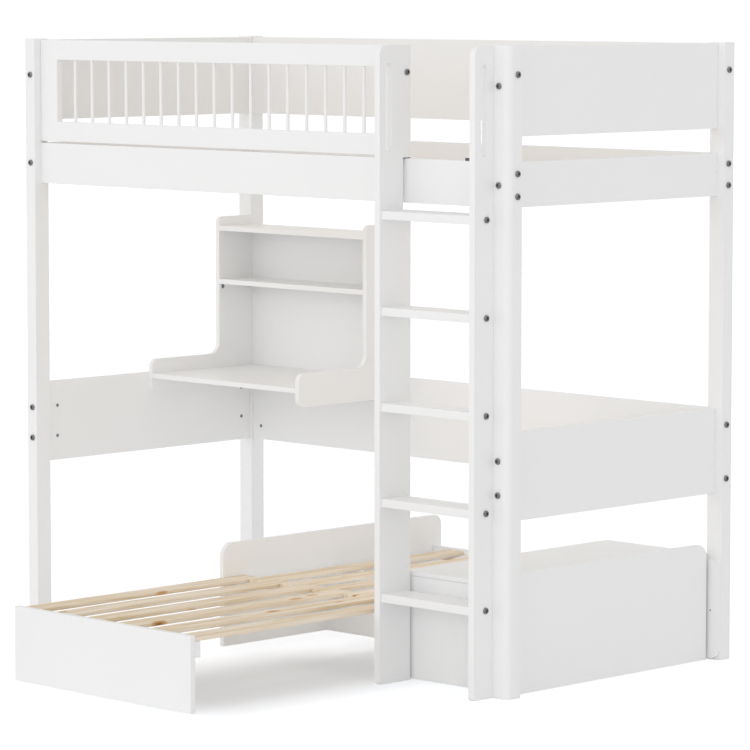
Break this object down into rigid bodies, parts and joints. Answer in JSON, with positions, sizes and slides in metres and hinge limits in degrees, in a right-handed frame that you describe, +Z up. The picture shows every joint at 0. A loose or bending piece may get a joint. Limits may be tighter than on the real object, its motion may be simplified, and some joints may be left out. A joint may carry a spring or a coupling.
{
  "type": "high sleeper bed with desk",
  "caption": "High sleeper bed with guards, ladder, desk with shelf unit, storage box with hinged lid and a slatted sofa base that pulls out.",
  "frame": {"origin": "on the floor, under the middle of the whole bed's box with the sofa base pulled out", "axes": "+X along the bed towards the ladder end, -Y towards the room, +Z up"},
  "size_m": [2.1, 1.7906, 1.848],
  "materials": {
    "white_lacquer": "satin",
    "bare_pine": "matte",
    "hinge_steel": "satin"
  },
  "bodies": {
    "bed": {"post_front_left_lower": "white_lacquer", "post_front_left_upper": "white_lacquer", "post_front_right_lower": "white_lacquer", "post_front_right_upper": "white_lacquer", "post_rear_left_lower": "white_lacquer", "post_rear_left_upper": "white_lacquer", "post_rear_right_lower": "white_lacquer", "post_rear_right_upper": "white_lacquer", "rail_front": "white_lacquer", "rail_rear": "white_lacquer", "rail_left": "white_lacquer", "rail_right": "white_lacquer", "guard_rear": "white_lacquer", "guard_left": "white_lacquer", "guard_right": "white_lacquer", "lower_board_rear": "white_lacquer", "lower_board_left": "white_lacquer", "lower_board_right": "white_lacquer", "front_guard": "white_lacquer", "bed_slat_base": "bare_pine", "ladder_stile_left": "white_lacquer", "ladder_stile_right": "white_lacquer", "ladder_rung_1": "white_lacquer", "ladder_rung_2": "white_lacquer", "ladder_rung_3": "white_lacquer", "ladder_rung_4": "white_lacquer", "ladder_rung_5": "white_lacquer", "desk_side_left": "white_lacquer", "desk_side_right": "white_lacquer", "desk_top": "white_lacquer", "desk_back": "white_lacquer", "desk_shelf_upper": "white_lacquer", "desk_shelf_lower": "white_lacquer", "box_front": "white_lacquer", "box_side": "white_lacquer", "box_back": "white_lacquer", "box_floor": "white_lacquer", "box_hinge_fixed_leaf": "hinge_steel", "box_end_panel": "white_lacquer", "box_filler_plate": "white_lacquer", "sofa_side": "white_lacquer", "sofa_back_board": "white_lacquer", "sofa_mid_board": "white_lacquer", "sofa_front_bar": "white_lacquer", "sofa_rear_cleat": "white_lacquer", "sofa_fixed_slat_1": "bare_pine", "sofa_fixed_slat_2": "bare_pine", "sofa_fixed_slat_3": "bare_pine", "sofa_fixed_slat_4": "bare_pine", "sofa_fixed_slat_5": "bare_pine"},
    "sofa_pull_out": {"sofa_fascia": "white_lacquer", "sofa_fascia_cleat": "white_lacquer", "sofa_sliding_slat_1": "bare_pine", "sofa_sliding_slat_2": "bare_pine", "sofa_sliding_slat_3": "bare_pine", "sofa_sliding_slat_4": "bare_pine", "sofa_sliding_slat_5": "bare_pine", "sofa_sliding_slat_6": "bare_pine"},
    "box_lid": {"box_lid": "white_lacquer", "box_hinge_lid_leaf": "hinge_steel"}
  },
  "joints": [
    {"name": "sofa_slide", "type": "slide", "parent": "bed", "child": "sofa_pull_out", "axis": [0, 1, 0], "range_m": [0, 0.8275]},
    {"name": "box_lid_hinge", "type": "hinge", "parent": "bed", "child": "box_lid", "pos_m": [0.801, 0.82525, 0.30485], "axis": [-1, 0, 0], "range_deg": [0, 80]}
  ]
}
